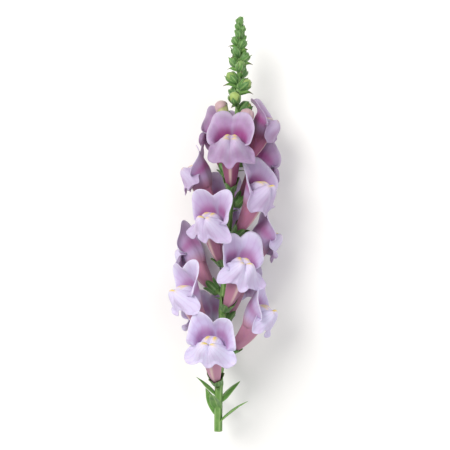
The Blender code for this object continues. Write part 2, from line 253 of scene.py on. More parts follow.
def growth_frame(along, azimuth):
    """Side, along and outward at a point of the stem, as columns. Azimuth 0 faces up, a quarter turn +X."""
    step = 0.5 * MM
    tangent = axis_point(along + step) - axis_point(along - step)
    tangent /= np.linalg.norm(tangent)
    up = np.array([0.0, 0.0, 1.0]) - tangent[2] * tangent
    up /= np.linalg.norm(up)
    right = np.cross(tangent, up)
    outward = math.cos(azimuth) * up + math.sin(azimuth) * right
    return np.column_stack([np.cross(tangent, outward), tangent, outward])


def tilted(axes, pitch):
    """The axes turned about their side. A positive pitch opens a flower away from the stem."""
    side, along, outward = axes.T
    c, s = math.cos(pitch), math.sin(pitch)
    return np.column_stack([side, c * along + s * outward, c * outward - s * along])


def swayed(axes, angle):
    """The axes turned about the outward one, so that a flower nods to one side."""
    side, along, outward = axes.T
    c, s = math.cos(angle), math.sin(angle)
    return np.column_stack([c * side + s * along, c * along - s * side, outward])


def place(points_mm, axes, origin, size=1.0):
    """Points given in millimetres along some axes, carried into the row frame."""
    return np.asarray(points_mm) * MM * size @ axes.T + origin


def in_flower(flower):
    """What carries points from a flower's own axes into the row frame."""
    return lambda points_mm: place(points_mm, flower["frame"], flower["origin"], flower["size"])


def on_stem(along, azimuth):
    """What carries points from the axes at a point of the stem into the row frame."""
    return lambda points_mm: place(points_mm, growth_frame(along, azimuth), axis_point(along))


def in_row_frame(points):
    """Leaves points as they are, because they are in the row frame already."""
    return points


# The flower's form


def tube_line(v):
    """Centre and direction of the corolla tube, a quadratic curve from the calyx to the throat."""
    centre = 2 * v * (1 - v) * TUBE_CONTROL + v * v * THROAT
    direction = (1 - v) * TUBE_CONTROL + v * (THROAT - TUBE_CONTROL)
    return centre, direction / np.linalg.norm(direction)


def ring(centre, direction, radius, turn, depth=1.0):
    """Points at the given turns round a direction in the middle plane. Turn 0 is on the stem's side."""
    inner = towards_stem(direction)
    return centre + combined((radius * np.sin(turn), SIDE), (radius * depth * np.cos(turn), inner))


def tube_ring(v, turn):
    """A round tube whose radius grows as v^0.9. Five low ribs and a keel fade in towards the throat."""
    radius = between(v**0.9, TUBE_RADIUS_BASE, TUBE_RADIUS_THROAT)
    ribs = 0.16 * smooth(v, 0.1, 0.5) * np.cos(5 * (turn - math.pi))
    keel = 0.35 * smooth(v, 0.2, 0.8) * bump(turn, math.pi, 0.35)
    return ring(*tube_line(v), radius + ribs + keel, turn)


def palate_ring(share, turn):
    """The palate: a dome whose ring radius falls as cos^0.62, with two humps and a crease between them."""
    centre, direction = tube_line(1.0)
    out = leaning(PALATE_SLOPE)[1]
    rise = share * math.pi / 2
    facing = direction + smooth(share, 0.0, 0.9) * (out - direction)
    facing /= np.linalg.norm(facing)
    middle = centre + PALATE_HEIGHT * math.sin(rise) * (0.15 * direction + 0.85 * facing)
    points = ring(middle, facing, PALATE_RADIUS * max(math.cos(rise), 0.0) ** 0.62, turn, 0.9)
    humps = 1.5 * bump(np.abs(points[:, 0]), 2.7, 1.9)
    crease = 0.9 * bump(points[:, 0], 0.0, 0.9)
    return points + combined(((humps - crease) * math.sin(rise) ** 2, out))


def upper_lip(s, t, flower, fine=False):
    """The hood: a quadratic blend in t from an arc round the throat, past a knee, to a fan of two lobes.

    The fan's reach is a base and a bell for each lobe and each side flap, less a notch in the middle. The
    rim rolls back with the square of t past 0.6, and waves with the sine of 6 s. A crease runs up the middle
    as a bell across and a sine along. The fine hood starts on the outside of the tube, has rounded corners
    and a second crease, and varies in its reach, its roll and its rim by sines of s.
    """
    phase = flower["phase"]
    up, out = leaning(UPPER_LIP_SLOPE)
    throat, direction = tube_line(1.0)
    wrap, fan = s * UPPER_LIP_WRAP, s * UPPER_LIP_FAN
    spoke = combined((np.sin(wrap), SIDE), (np.cos(wrap), towards_stem(direction)))
    root = throat + 0.85 * TUBE_RADIUS_THROAT * spoke
    knee = throat + 1.35 * TUBE_RADIUS_THROAT * spoke + HOOD_KNEE_AHEAD * direction
    lobes = HOOD_LOBE * bump(np.abs(fan), 0.62, 0.60)
    flaps = HOOD_FLAP * bump(np.abs(fan), 1.65, 0.5)
    notch = HOOD_NOTCH * bump(s, 0.0, 0.07)
    reach = (HOOD_REACH + lobes + flaps - notch) * (1 + flower["lobe"] * np.sin(1.6 * fan))
    forward = 1.5 + HOOD_FORWARD * np.sin(fan) ** 2 * smooth(np.abs(s), 0.2, 1.0)
    roll = HOOD_ROLL * (np.clip(t - 0.6, 0, 1) / 0.4) ** 2 * (0.3 + 0.7 * np.cos(fan) ** 2)
    crease = HOOD_CREASE * bump(s, 0.0, 0.12) * np.sin(math.pi * t)
    wave = HOOD_WAVE * np.sin(6.0 * s + phase) * t**3
    if fine:
        root = tube_line(HOOD_ROOT_AT)[0] + HOOD_ROOT_RADIUS * spoke
        reach = reach - 3.2 * smooth(np.abs(s), 0.80, 1.0)
        reach = reach + 1.4 * np.sin(4.4 * s + 3 * phase) + 0.5 * np.sin(11 * s + 2 * phase)
        reach = reach + 0.15 * np.sin(23 * s - phase)
        roll = roll * (1 + 0.95 * np.sin(2.6 * s + 2 * phase))
        crease = crease + 0.7 * bump(s, 0.45 * math.sin(phase), 0.10) * smooth(t, 0.35, 0.8)
        wave = wave + 0.45 * np.sin(13 * s + 3 * phase) * t**4
    rim = combined((reach * np.sin(fan), SIDE), (reach * np.cos(fan), up), (forward, out))
    rim = UPPER_LIP_CENTRE + rim
    weight = t[..., None]
    surface = (1 - weight) ** 2 * root + 2 * weight * (1 - weight) * knee + weight**2 * rim
    return surface + combined((wave - roll - crease, out))


def lower_lip(s, t, flower, fine=False):
    """Two cheeks that hug the palate and run out into three lobes: a fan whose reach is a sum of bells.

    The cheeks are bells on each side of the middle. The fold sinks with an S-shaped rise of the distance.
    The rim turns up a little and waves with the sine of 6 times the fan's angle, and bells crease it between
    the lobes. The fine lip starts at the top of the palate and covers it, tucks its upper corners in, and
    varies in its reach by sines of s and in its rim by sines of the fan's angle.
    """
    phase = flower["phase"]
    up, out = leaning(LOWER_LIP_SLOPE)
    fan = s * LOWER_LIP_FAN
    side_lobe = bump(np.abs(fan), 1.12, 0.50)
    middle_lobe = bump(fan, 0.0, 0.34)
    shortened = 2.2 * smooth(np.abs(s), 0.8, 1.0)
    reach = LOWER_LIP_REACH + SIDE_LOBE * side_lobe + MIDDLE_LOBE * middle_lobe - shortened
    reach = reach * (1 - flower["lobe"] * np.sin(1.6 * fan))
    root = 3.0
    if fine:
        root = 0.4
        reach = reach + np.sin(4 * s + 2 * phase) + 0.5 * np.sin(12 * s + phase)
        reach = reach + 0.22 * np.sin(25 * s + 2 * phase)
    distance = between(t, root, reach)
    across, above = distance * np.sin(fan), -distance * np.cos(fan)
    cheek = CHEEK_HEIGHT * bump(np.abs(across), 3.6, 4.4) * bump(above, -1.5, 6.0) * smooth(t, -0.25, 0.35)
    fold = LOWER_LIP_FOLD * smooth(distance, 5.0, 13.5) * (0.55 + 0.45 * np.cos(fan) ** 2)
    turned_up = LOWER_LIP_TURNED_UP * smooth(t, 0.78, 1.0) * (1 - 0.5 * side_lobe)
    crease = LOWER_LIP_CREASE * bump(np.abs(fan), 0.50, 0.16) * smooth(t, 0.5, 1.0)
    wave = LOWER_LIP_WAVE * t**3 * np.sin(6.0 * fan + phase)
    if fine:
        corner = smooth(np.abs(s), 0.72, 1.0) * t**0.7
        cheek = FINE_CHEEK_HEIGHT * bump(np.abs(across), 2.9, 4.3) * bump(above, -0.8, 6.6)
        turned_up = turned_up * (1 - corner) - 3.0 * corner
        wave = wave + 0.6 * t**4 * np.sin(13 * fan - phase)
        wave = wave + 0.9 * t**2 * np.sin(2.6 * fan + 3 * phase)
    height = cheek - fold + turned_up - crease + wave - 0.008 * across**2
    return LOWER_LIP_CENTRE + combined((across, SIDE), (above, up), (height, out))


# Where each flower stands: the same rule and the same order of draws as the solids


def lowest_point(flower):
    """The height of a corolla's lowest point over the surface, on the coarse grid that the solids use."""
    s, t = np.meshgrid(np.linspace(-1, 1, 21), np.linspace(0, 1, 7))
    turn = np.linspace(0, 2 * math.pi, 12, endpoint=False)
    points = [lip(s, t, flower).reshape(-1, 3) for lip in (upper_lip, lower_lip)]
    points += [palate_ring(share, turn) for share in (0.4, 0.6, 0.8)]
    return in_flower(flower)(np.concatenate(points))[:, 2].min()


def flower_at(along, azimuth, size, pitch, draw):
    """A corolla's place, size and differences. One that faces down is bent until it meets the surface.

    Its bend is found by halving a range of pitches, which leaves its lowest point at the press depth.
    """
    pitch = pitch + draw.uniform(-PITCH_SPREAD, PITCH_SPREAD)
    azimuth = azimuth + draw.uniform(-AZIMUTH_SPREAD, AZIMUTH_SPREAD)
    axes = swayed(growth_frame(along, azimuth), draw.uniform(-SWAY_SPREAD, SWAY_SPREAD))
    low, high = pitch - BENT_IN_AT_MOST, pitch + BENT_OUT_AT_MOST
    flower = {
        "frame": tilted(axes, high),
        "origin": axis_point(along) + CALYX_OUT * axes[:, 2],
        "size": size * draw.uniform(*SIZE_SPREAD),
        "phase": draw.uniform(0, 2 * math.pi),
        "lobe": draw.uniform(-LOBE_SPREAD, LOBE_SPREAD),
        "along": along,
        "azimuth": azimuth,
    }
    if lowest_point(flower) > -PRESS_DEPTH:
        flower["frame"] = tilted(axes, pitch)
        return flower
    for _ in range(20):
        middle = (low + high) / 2
        flower["frame"] = tilted(axes, middle)
        if lowest_point(flower) < -PRESS_DEPTH:
            high = middle
        else:
            low = middle
    return flower


def bud_position(k):
    """Buds above the youngest flower stand closer and closer: an exponential approach to the tip."""
    return YOUNGEST_FLOWER_AT + BUD_REACH * (1 - math.exp(-k / BUD_DECAY))


def all_flowers():
    """Every flower and large bud, turned by the golden angle from its neighbour. The oldest has age 1."""
    draw = np.random.default_rng(SEED)
    flowers = []
    for n in range(FLOWER_COUNT):
        age = n / (FLOWER_COUNT - 1)
        along = YOUNGEST_FLOWER_AT - n * FLOWER_SPACING
        size = FLOWER_SIZE * between(age, *FLOWER_SIZES)
        flower = flower_at(along, n * DIVERGENCE, size, between(age, *FLOWER_PITCHES), draw)
        flowers.append({"name": f"flower_{n + 1:02d}", "open": True, "age": age, **flower})
    for k in range(1, YOUNG_FLOWERS + LARGE_BUDS + 1):
        young = k <= YOUNG_FLOWERS
        if young:
            name = f"young_flower_{k}"
            size = FLOWER_SIZE * stepped(k, *YOUNG_FLOWER_SIZE)
        else:
            name = f"large_bud_{k - YOUNG_FLOWERS}"
            size = stepped(k - YOUNG_FLOWERS, *LARGE_BUD_SIZE)
        flower = flower_at(bud_position(k), -k * DIVERGENCE, size, stepped(k, *YOUNG_PITCH), draw)
        flowers.append({"name": name, "open": young, "age": 0.0, **flower})
    return flowers


def frame_shift():
    """How far the solids were moved to centre them, read from the middle of the stem's square-cut end."""
    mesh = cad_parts["leafy_stem"].data
    points = np.empty(len(mesh.vertices) * 3)
    mesh.vertices.foreach_get("co", points)
    points = np.unique(points.reshape(-1, 3).round(6), axis=0)
    cut_end = points[points[:, 1] < points[:, 1].min() + 0.5 * MM]
    return np.array([cut_end[:, 0].mean(), cut_end[:, 1].mean(), 0.0])


SHIFT = frame_shift()


# Meshes


def grid_faces(rows, columns, start=0, wrap=False, flip=False):
    """Corner numbers of a grid's quads, row by row. A wrapped grid joins its last column to its first."""
    steps = columns if wrap else columns - 1
    row, column = np.meshgrid(np.arange(rows - 1), np.arange(steps), indexing="ij")
    here, beyond = row * columns, (row + 1) * columns
    after = (column + 1) % columns
    quads = np.stack([here + column, here + after, beyond + after, beyond + column], axis=-1)
    quads = quads.reshape(-1, 4) + start
    return quads[:, ::-1] if flip else quads


class Shape:
    """Points, quads and point values gathered for one mesh."""

    def __init__(self, *values):
        self.points, self.quads, self.count = [], [], 0
        self.values = {name: [] for name in values}

    def add(self, points, quads, **values):
        """Takes in a grid's points and quads. A value that isn't given is 0."""
        points = points.reshape(-1, 3)
        self.points.append(points)
        self.quads.append(quads + self.count)
        self.count += len(points)
        for name, gathered in self.values.items():
            gathered.append(np.broadcast_to(values.get(name, 0.0), len(points)).astype(float))

    def build(self, name, material, slot, *nodes):
        """The mesh object in the row frame, riding on the root body and standing for the given solids.

        What would reach under the surface lies just above it. Points that coincide at a pole become one.
        """
        points = np.concatenate(self.points) + SHIFT
        points[:, 2] = np.maximum(points[:, 2], SURFACE_GAP)
        mesh = bpy.data.meshes.new(name)
        mesh.from_pydata(points, [], np.concatenate(self.quads).tolist())
        for key, gathered in self.values.items():
            attribute = mesh.attributes.new(key, "FLOAT", "POINT")
            attribute.data.foreach_set("value", np.concatenate(gathered))
        welded = bmesh.new()
        welded.from_mesh(mesh)
        bmesh.ops.remove_doubles(welded, verts=welded.verts, dist=1e-7)
        welded.to_mesh(mesh)
        welded.free()
        mesh.materials.append(material)
        mesh.shade_smooth()
        made = bpy.data.objects.new(name, mesh)
        bpy.context.scene.collection.objects.link(made)
        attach(made, "root")
        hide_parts(*nodes)


def add_sheet(shape, grid, thickness, carry, root_share=1.0, **values):
    """A thin closed sheet: the grid pushed to both sides along its normal, with a strip round its edge.

    It thins to 0.45 of the thickness at its rim, and to the root share at its first row. Values given on
    the grid are repeated on both sides.
    """
    rows, columns = grid.shape[:2]
    normal = np.cross(np.gradient(grid, axis=1), np.gradient(grid, axis=0))
    normal /= np.maximum(np.linalg.norm(normal, axis=2, keepdims=True), 1e-9)
    taper = np.interp(np.linspace(0, 1, rows), [0.0, 0.12, 1.0], [root_share, 1.0, 0.45])[:, None, None]
    offset = normal * taper * thickness / 2
    points = np.concatenate([(grid + offset).reshape(-1, 3), (grid - offset).reshape(-1, 3)])
    count = rows * columns
    first_row = np.arange(columns)
    last_column = np.arange(2 * columns - 1, count, columns)
    last_row = np.arange(count - 2, count - columns - 1, -1)
    first_column = np.arange(count - 2 * columns, 0, -columns)
    edge = np.concatenate([first_row, last_column, last_row, first_column])
    strip = np.stack([edge + count, np.roll(edge, -1) + count, np.roll(edge, -1), edge], axis=-1)
    quads = np.concatenate([grid_faces(rows, columns), grid_faces(rows, columns, count, flip=True), strip])
    spread = {}
    for key, value in values.items():
        spread[key] = np.tile(np.broadcast_to(value, (rows, columns)).reshape(-1), 2)
    shape.add(carry(points), quads, **spread)


def add_loft(shape, rings, carry, **values):
    """A closed skin through rings of equal count, each end drawn together to its middle point.

    A value is one number, or a grid with a row for each ring.
    """
    start, end = (np.broadcast_to(rings[at].mean(axis=0), rings[:1].shape) for at in (0, -1))
    rings = np.concatenate([start, rings, end])
    rows, columns = rings.shape[:2]
    spread = {}
    for key, value in values.items():
        if np.ndim(value) == 2:
            value = np.concatenate([value[:1], value, value[-1:]])
        spread[key] = np.broadcast_to(value, (rows, columns)).reshape(-1)
    shape.add(carry(rings.reshape(-1, 3)), grid_faces(rows, columns, wrap=True, flip=True), **spread)


# Materials


# The sockets of a Mix node that are colours, by number: the one under, the one over, and the result
MIX_UNDER = 6
MIX_OVER = 7
MIX_RESULT = 2

PETAL_VALUES = ("tube", "rib", "yolk", "pale", "flush", "age", "vein")
PLANT_VALUES = ("rib", "tip")


def srgb(code):
    """Linear red, green and blue of an sRGB hex code."""
    channels = np.array([int(code[i:i + 2], 16) for i in (1, 3, 5)]) / 255
    linear = np.where(channels <= 0.04045, channels / 12.92, ((channels + 0.055) / 1.055) ** 2.4)
    return (*linear.tolist(), 1.0)


def add(tree, kind, settings=None, links=None):
    """One node. Settings set its properties or its input sockets, and links feed its inputs from outputs."""
    node = tree.nodes.new(kind)
    for key, value in (settings or {}).items():
        if isinstance(key, str) and hasattr(node, key):
            setattr(node, key, value)
        else:
            node.inputs[key].default_value = value
    for key, output in (links or {}).items():
        tree.links.new(output, node.inputs[key])
    return node


def new_material(name, finish):
    """A material, its node tree and its Principled shader, whose own sockets are set to the finish."""
    made = bpy.data.materials.new(name)
    made.use_nodes = True
    surface = made.node_tree.nodes["Principled BSDF"]
    for socket, value in finish.items():
        surface.inputs[socket].default_value = value
    return made, made.node_tree, surface


def tissue(name, finish, names, patch_scale, patch_detail, grain_scale):
    """What petals and green skins share: point values that colour them, broad patches and a fine grain."""
    made, tree, surface = new_material(name, finish)
    where = {"Vector": add(tree, "ShaderNodeTexCoord").outputs["Object"]}
    value = {key: add(tree, "ShaderNodeAttribute", {"attribute_name": key}).outputs["Fac"] for key in names}
    patches = add(tree, "ShaderNodeTexNoise", {"Scale": patch_scale, "Detail": patch_detail}, where)
    grain = add(tree, "ShaderNodeTexNoise", {"Scale": grain_scale, "Detail": 2.0}, where)
    return made, tree, surface, value, patches.outputs["Fac"], grain.outputs["Fac"]


def filling(count, span_mm):
    """The scale of a noise that fills a span given in millimetres with so many patches."""
    return count / (span_mm * MM)


def painted(tree, skin, layers):
    """Colours laid over a skin in turn, each by its own share. A colour is a hex code or a node's output."""
    for share, colour in layers:
        settings, links = {"data_type": "RGBA"}, {"Factor": share}
        for socket, given in ((MIX_UNDER, skin), (MIX_OVER, colour)):
            if isinstance(given, str):
                settings[socket] = srgb(given)
            else:
                links[socket] = given
        skin = add(tree, "ShaderNodeMix", settings, links).outputs[MIX_RESULT]
    return skin


def finish_surface(tree, surface, skin, height, strength):
    """Feeds the shader its colour, and a relief 0.2 mm deep."""
    settings = {"Strength": strength, "Distance": 0.2 * MM}
    relief = add(tree, "ShaderNodeBump", settings, {"Height": height})
    tree.links.new(skin, surface.inputs["Base Color"])
    tree.links.new(relief.outputs["Normal"], surface.inputs["Normal"])


def petal_material():
    """Snapdragon petal: thin velvety tissue that light gets into, so it looks soft and matt.

    It is dusky mauve when young and pale lilac when old, rose on the tube and yellow on the palate. Magenta
    lies inside the hood and in the lower lip's creases. It is partly the petal's own flush and partly painted
    shade where the hood and the creases are hollow. Its clouds are 6.25 mm wide. Nine grains fill 10 mm,
    because real cells are too fine to show. Faint veins run out from the throat where a sine of the value
    "vein" is high, and the clouds make them wander.
    """
    finish = {"Roughness": 0.62, "IOR": 1.38, "Sheen Weight": 0.10, "Sheen Roughness": 0.5,
              "Subsurface Weight": 0.15, "Subsurface Scale": 3 * MM, "Subsurface Radius": (0.9, 0.5, 0.7)}
    made, tree, surface, value, cloud, grain = tissue(
        "petal_tissue", finish, PETAL_VALUES, filling(1, 6.25), 3.0, filling(9, 10))
    patch = add(tree, "ShaderNodeMapRange", {"From Min": 0.35, "From Max": 0.7, "To Max": 0.5},
                {"Value": cloud})
    stripe = add(tree, "ShaderNodeMath", {"operation": "MULTIPLY", 1: 46.0}, {0: value["vein"]})
    wander = add(tree, "ShaderNodeMath", {"operation": "MULTIPLY_ADD", 1: 5.0},
                 {0: cloud, 2: stripe.outputs[0]})
    wave = add(tree, "ShaderNodeMath", {"operation": "SINE"}, {0: wander.outputs[0]}).outputs[0]
    vein = add(tree, "ShaderNodeMapRange", {"From Min": 0.5, "To Max": 0.13}, {"Value": wave})
    young_to_old = painted(tree, "#957C9C", [(value["age"], "#C6BDE0")])
    tube_tone = painted(tree, "#94506F", [(value["age"], "#B98399")])
    skin = painted(tree, young_to_old, [
        (patch.outputs["Result"], "#B597C2"),
        (value["tube"], tube_tone),
        (value["rib"], "#E3CBBE"),
        # Magenta: partly the petal's own flush, partly painted shade in the hood's hollow and the lower lip's
        # creases
        (value["flush"], "#984482"),
        (value["pale"], "#E2DEF2"),
        (vein.outputs["Result"], "#9E66AC"),
        (value["yolk"], "#E4C936"),
    ])
    height = add(tree, "ShaderNodeMath", {"operation": "MULTIPLY_ADD", 1: 0.35}, {0: grain, 2: wave})
    finish_surface(tree, surface, skin, height.outputs[0], 0.12)
    return made


def plant_material(name, dark, light, rib, tip):
    """Living plant skin: a waxy cuticle over soft tissue, which gives a dull gloss and a mottled green.

    Thirteen patches of its mottling fill 50 mm. Seven of its cells fill 5 mm, because real ones are too fine
    to show. The value "rib" pales its ribs and edges, and "tip" brings in the colour of its tips.
    """
    finish = {"Roughness": 0.46, "IOR": 1.42, "Sheen Weight": 0.08,
              "Subsurface Weight": 0.10, "Subsurface Scale": 2 * MM, "Subsurface Radius": (0.5, 0.9, 0.3)}
    made, tree, surface, value, cloud, cells = tissue(
        name, finish, PLANT_VALUES, filling(13, 50), 4.0, filling(7, 5))
    mottle = add(tree, "ShaderNodeMapRange", {"From Min": 0.3, "From Max": 0.7}, {"Value": cloud})
    skin = painted(tree, dark, [
        (mottle.outputs["Result"], light),
        (value["rib"], rib),
        (value["tip"], tip),
    ])
    finish_surface(tree, surface, skin, cells, 0.3)
    return made


# Flowers


def sheet_axes(columns, rows):
    """s across and t outwards as grids. t is an even step to the power 0.9, so rows are closer at the rim."""
    return np.meshgrid(np.linspace(-1, 1, columns), np.linspace(0, 1, rows) ** 0.9)


def add_tube(shape, flower, bloom):
    """The tube and the palate that closes it, one skin through 22 rings and 16 more up the dome.

    The tube is rose with a pale rib along its keel. The palate is pale, with a yellow spot on each hump.
    """
    turn = np.linspace(0, 2 * math.pi, 48, endpoint=False)
    tube_rows, dome_rows = np.linspace(0, 1, 22), np.linspace(0, 1, 18)[1:-1]
    rings = [tube_ring(v, turn) for v in tube_rows] + [palate_ring(share, turn) for share in dome_rows]
    rings = np.stack(rings)
    across = rings[..., 0]
    v = np.concatenate([tube_rows, 1 + dome_rows])[:, None] * np.ones(len(turn))
    stem_side = smooth(smooth(np.abs(turn - math.pi), 0.4, 2.0), 0.3, 0.8)
    yolk = bump(v, 1.66, 0.15) * bump(np.abs(across), 2.0, 1.1) * stem_side
    keel = bump(turn, math.pi, 0.16) * smooth(v, 0.15, 0.5) * (1 - smooth(v, 0.9, 1.1))
    add_loft(shape, rings, in_flower(flower), tube=1 - smooth(v, 0.75, 1.2), rib=0.8 * keel, yolk=yolk,
             pale=smooth(v, 1.15, 1.5) * (0.30 + 0.26 * bloom) * (1 - yolk), age=bloom, vein=across / 8)


def add_hood(shape, flower, bloom):
    """The upper lip, rose at its root, with a band of magenta across it and a pale rim.

    The band is partly the petal's own flush and partly painted shade in the hollow over the palate, with less
    of it on the ridge in the middle.
    """
    s, t = sheet_axes(57, 30)
    # Painted shade: this magenta band is partly the hood's own flush and partly shade in its hollow over the
    # palate; the ridge in the middle gets less of it
    flush_and_shade_band = bump(t, 0.50, 0.15) * (1 - 0.45 * smooth(np.abs(s), 0.4, 0.9)) * (1 - 0.8 * bump(s, 0.0, 0.05))
    add_sheet(shape, upper_lip(s, t, flower, fine=True), PETAL_THICKNESS, in_flower(flower), root_share=0.2,
              tube=1 - smooth(t, 0.0, 0.34), flush=flush_and_shade_band * (0.95 - 0.35 * bloom),
              pale=smooth(t, 0.80, 1.0) * (0.30 + 0.3 * bloom), age=bloom, vein=s)


def add_skirt(shape, flower, bloom):
    """The lower lip: a yellow spot where each cheek starts, pale cheeks, and magenta in its three creases.

    The creases' magenta is partly the petal's own flush and partly painted shade in the folds.
    """
    s, t = sheet_axes(61, 34)
    spot = bump(t, 0.12, 0.13) * bump(np.abs(s), 0.82, 0.20)
    # Painted shade: the magenta in the creases is partly the petal's flush and partly shade in the folds
    side_crease_flush_and_shade = bump(np.abs(s), 0.30, 0.12) * bump(t, 0.6, 0.3)
    middle_crease_flush_and_shade = 0.8 * bump(s, 0.0, 0.05) * smooth(t, 0.2, 0.5)
    cheeks = 1 - smooth(t, 0.25, 0.7)
    add_sheet(shape, lower_lip(s, t, flower, fine=True), PETAL_THICKNESS, in_flower(flower), yolk=spot,
              flush=0.25 * (side_crease_flush_and_shade + middle_crease_flush_and_shade) * (1 - 0.4 * bloom),
              pale=(0.06 + 0.26 * bloom + 0.26 * cheeks) * (1 - spot), age=bloom, vein=s)


def add_corolla(shape, flower):
    """An open flower. Its colours pale early in its life, with its age to the power 0.65."""
    bloom = flower["age"] ** 0.65
    for add_part in (add_tube, add_hood, add_skirt):
        add_part(shape, flower, bloom)


def add_large_bud(shape, flower):
    """A bud about to open: an egg of revolution on the tube's curve, with the folded hood as a raised cap.

    The hood covers what lies above an edge that waves round the bud as cosines of the turn. It stands 0.55 mm
    proud, in two lobes that meet in a furrow at the front, and seams run down the lower part.
    """
    turn = np.linspace(0, 2 * math.pi, 48, endpoint=False)
    v = np.linspace(0, CLOSED_BUD_END, 40)[:, None]
    egg = np.interp(v, [0.0, 0.18, 0.38, 0.57, 0.66, 0.73, 0.78, CLOSED_BUD_END],
                    [1.9, 3.4, 4.7, 5.1, 4.75, 3.8, 1.9, 0.6])
    edge = 0.50 - 0.10 * np.cos(turn - math.pi) + 0.03 * np.cos(3 * turn)
    hood = smooth(v - edge, -0.015, 0.02)
    proud = 0.55 * hood * smooth(CLOSED_BUD_END - v, 0.0, 0.1)
    seam = bump(np.sin(2.5 * turn + 0.4), 0.0, 0.22) * smooth(v, 0.05, 0.2) * (1 - hood)
    furrow = bump(turn, math.pi, 0.22) * hood
    radius = egg + proud - 0.22 * seam - 0.9 * furrow
    rings = np.stack([ring(*tube_line(at), around, turn) for at, around in zip(v[:, 0], radius)])
    add_loft(shape, rings, in_flower(flower), tip=0.9 * hood, rib=0.6 * seam)


# Green parts


def add_stem(shape, flowers):
    """The stem: a rod that tapers with its height to the power 1.3, with five low ribs that wind up it.

    A bell swells it at the node under each flower. It is cut square at its foot, where its pith is pale.
    """
    nodes = np.array([flower["along"] - NODE_BELOW for flower in flowers])
    turn = np.linspace(0, 2 * math.pi, 40, endpoint=False)
    rings, ribs = [], []
    for along in np.linspace(0, STEM_LENGTH - 0.003, 240):
        share = along / STEM_LENGTH
        radius = between(share**1.3, STEM_RADIUS_CUT, STEM_RADIUS_TIP)
        radius += NODE_SWELLING * bump(nodes, along, NODE_WIDTH).sum() * (1 - 0.6 * share)
        rib = np.cos(5 * turn + 9 * share)
        side, _, outward = growth_frame(along, 0.0).T
        around = radius * (1 + 0.035 * rib)
        circle = combined((around * np.cos(turn), side), (around * np.sin(turn), outward))
        rings.append(axis_point(along) + circle)
        ribs.append(0.55 * smooth(rib, 0.2, 1.0))
    ribs[0] = np.full(len(turn), 0.8)
    add_loft(shape, np.stack(rings), in_row_frame, rib=np.stack(ribs))


def add_calyx(shape, flower):
    """A stalk and five sepals. The stalk's centre runs straight from the stem, then widens into a cup.

    Each sepal is a sheet whose half angle falls from the cup to a point as (1 - t^2.4)^0.6. Its distance from
    the middle grows with t to hug the tube or the bud, and its tip turns out with the fourth power of t.
    """
    carry = in_flower(flower)
    _, direction = tube_line(0.1)
    turn = np.linspace(0, 2 * math.pi, 20, endpoint=False)
    profile = ((-2.2, 1.1), (-1.8, 1.6), (-1.3, 2.3), (-0.6, 2.7), (0.4, 2.85), (1.0, 2.9))
    cup = np.stack([carry(ring(height * direction, direction, radius, turn)) for height, radius in profile])
    middle = cup[0].mean(axis=0)
    foot = axis_point(flower["along"] - NODE_BELOW)
    share = np.linspace(0, 1, 8, endpoint=False)[:, None, None]
    stalk = between(share, foot, middle) + (0.75 + 0.25 * share**2) * (cup[0] - middle)
    add_loft(shape, np.concatenate([stalk, cup]), in_row_frame, rib=0.25)
    hug = HUG_ON_FLOWER if flower["open"] else HUG_ON_BUD
    s, t = np.meshgrid(np.linspace(-1, 1, 9), np.linspace(0, 1, 14))
    half = SEPAL_HALF_ANGLE * np.maximum(1 - t**2.4, 0) ** 0.6 * (0.9 + 0.1 * np.sin(math.pi * t))
    pale = np.maximum(0.5 * bump(s, 0.0, 0.16), 0.35 * smooth(np.abs(s), 0.8, 1.0))
    for sepal in range(SEPALS):
        flare = 0.7 + 0.5 * math.sin(2.1 * sepal + flower["phase"])
        length = SEPAL_LENGTH + 0.5 * math.sin(3.3 * sepal + flower["phase"])
        angle = sepal * 2 * math.pi / SEPALS + s * half
        radius = SEPAL_ROOT_RADIUS + hug * t + flare * t**4 - 0.25 * s**2 * t
        grid = combined((radius * np.sin(angle), SIDE), (radius * np.cos(angle), towards_stem(direction)),
                        (length * t - 0.9, direction))
        add_sheet(shape, grid, SEPAL_THICKNESS, carry, rib=pale, tip=0.25 * smooth(t, 0.8, 1.0))


def add_bract(shape, along, azimuth, length, width, rise, curl=0.0, twist=0.0):
    """A small pointed leaf whose half width is a skewed arch of t, folded and then turned about its rib.

    It bends back with the square of t, and its tip curls back with the fourth power.
    """
    s, t = np.meshgrid(np.linspace(-1, 1, 7), np.linspace(0, 1, 16))
    half = width / 2 * np.interp(t, [0, 0.2, 0.45, 0.75, 0.92, 1.0], [0.55, 0.9, 1.0, 0.55, 0.2, 0.03])
    growth, back = leaning(rise)
    across = math.cos(twist) * SIDE + math.sin(twist) * back
    above = math.cos(twist) * back - math.sin(twist) * SIDE
    grid = combined((t * length, growth), (length * (0.12 * t**2 + curl * t**4), back),
                    (s * half, across), (-0.30 * np.abs(s) * half, above))
    add_sheet(shape, grid, BRACT_THICKNESS, on_stem(along, azimuth), rib=0.5 * bump(s, 0.0, 0.2),
              tip=smooth(t, 0.66, 0.98))


def egg_radius(at, width):
    """The radius of a green bud at a share of its length: a stalk, then an egg that is widest at 0.68."""
    shares = [0.25, 0.3, 0.75, 0.97, 1.0, 0.86, 0.5, 0.08]
    return width / 2 * np.interp(at, [0, 0.15, 0.35, 0.55, 0.68, 0.82, 0.93, 1.0], shares)


